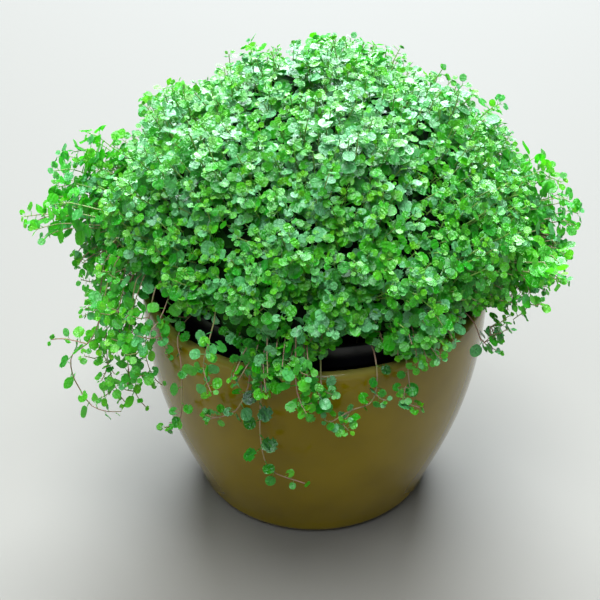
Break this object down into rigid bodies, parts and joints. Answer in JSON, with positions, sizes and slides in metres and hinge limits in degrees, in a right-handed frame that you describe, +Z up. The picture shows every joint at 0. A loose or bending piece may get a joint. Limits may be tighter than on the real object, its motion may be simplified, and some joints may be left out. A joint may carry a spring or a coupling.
{
  "type": "potted baby's tears plant",
  "caption": "Creeping plant with tiny round leaves, grown into a dense mound in a nursery pot set in a glazed bowl-shaped cover pot, with stems trailing over its rim.",
  "frame": {"origin": "centre of the cover pot's flat foot, on the surface that it stands on", "axes": "+Z up along the pot's axis, -Y towards the viewer of the picture, +X to the viewer's right"},
  "size_m": [0.2215, 0.1772, 0.1765],
  "materials": {
    "olive_glaze": "glossy olive glaze, smooth and even",
    "black_plastic": "thin moulded black plastic, satin",
    "peat_mix": "damp dark peat crumb",
    "mound_leaf": "thin juicy leaves, bright green, soft sheen",
    "trailing_leaf": "thin juicy leaves on pinkish thread-like stems"
  },
  "bodies": {
    "root": {"cover_pot": "olive_glaze", "nursery_pot": "black_plastic", "growing_mix": "peat_mix", "leafy_mound": "mound_leaf", "trailing_stem_front_long": "trailing_leaf", "trailing_stem_front_left": "trailing_leaf", "trailing_stem_left_front": "trailing_leaf", "trailing_stem_front": "trailing_leaf", "trailing_stem_front_right": "trailing_leaf", "trailing_stem_right_front": "trailing_leaf", "trailing_stem_right": "trailing_leaf", "trailing_stem_back_right": "trailing_leaf", "trailing_stem_back": "trailing_leaf", "trailing_stem_back_left": "trailing_leaf"}
  },
  "joints": []
}
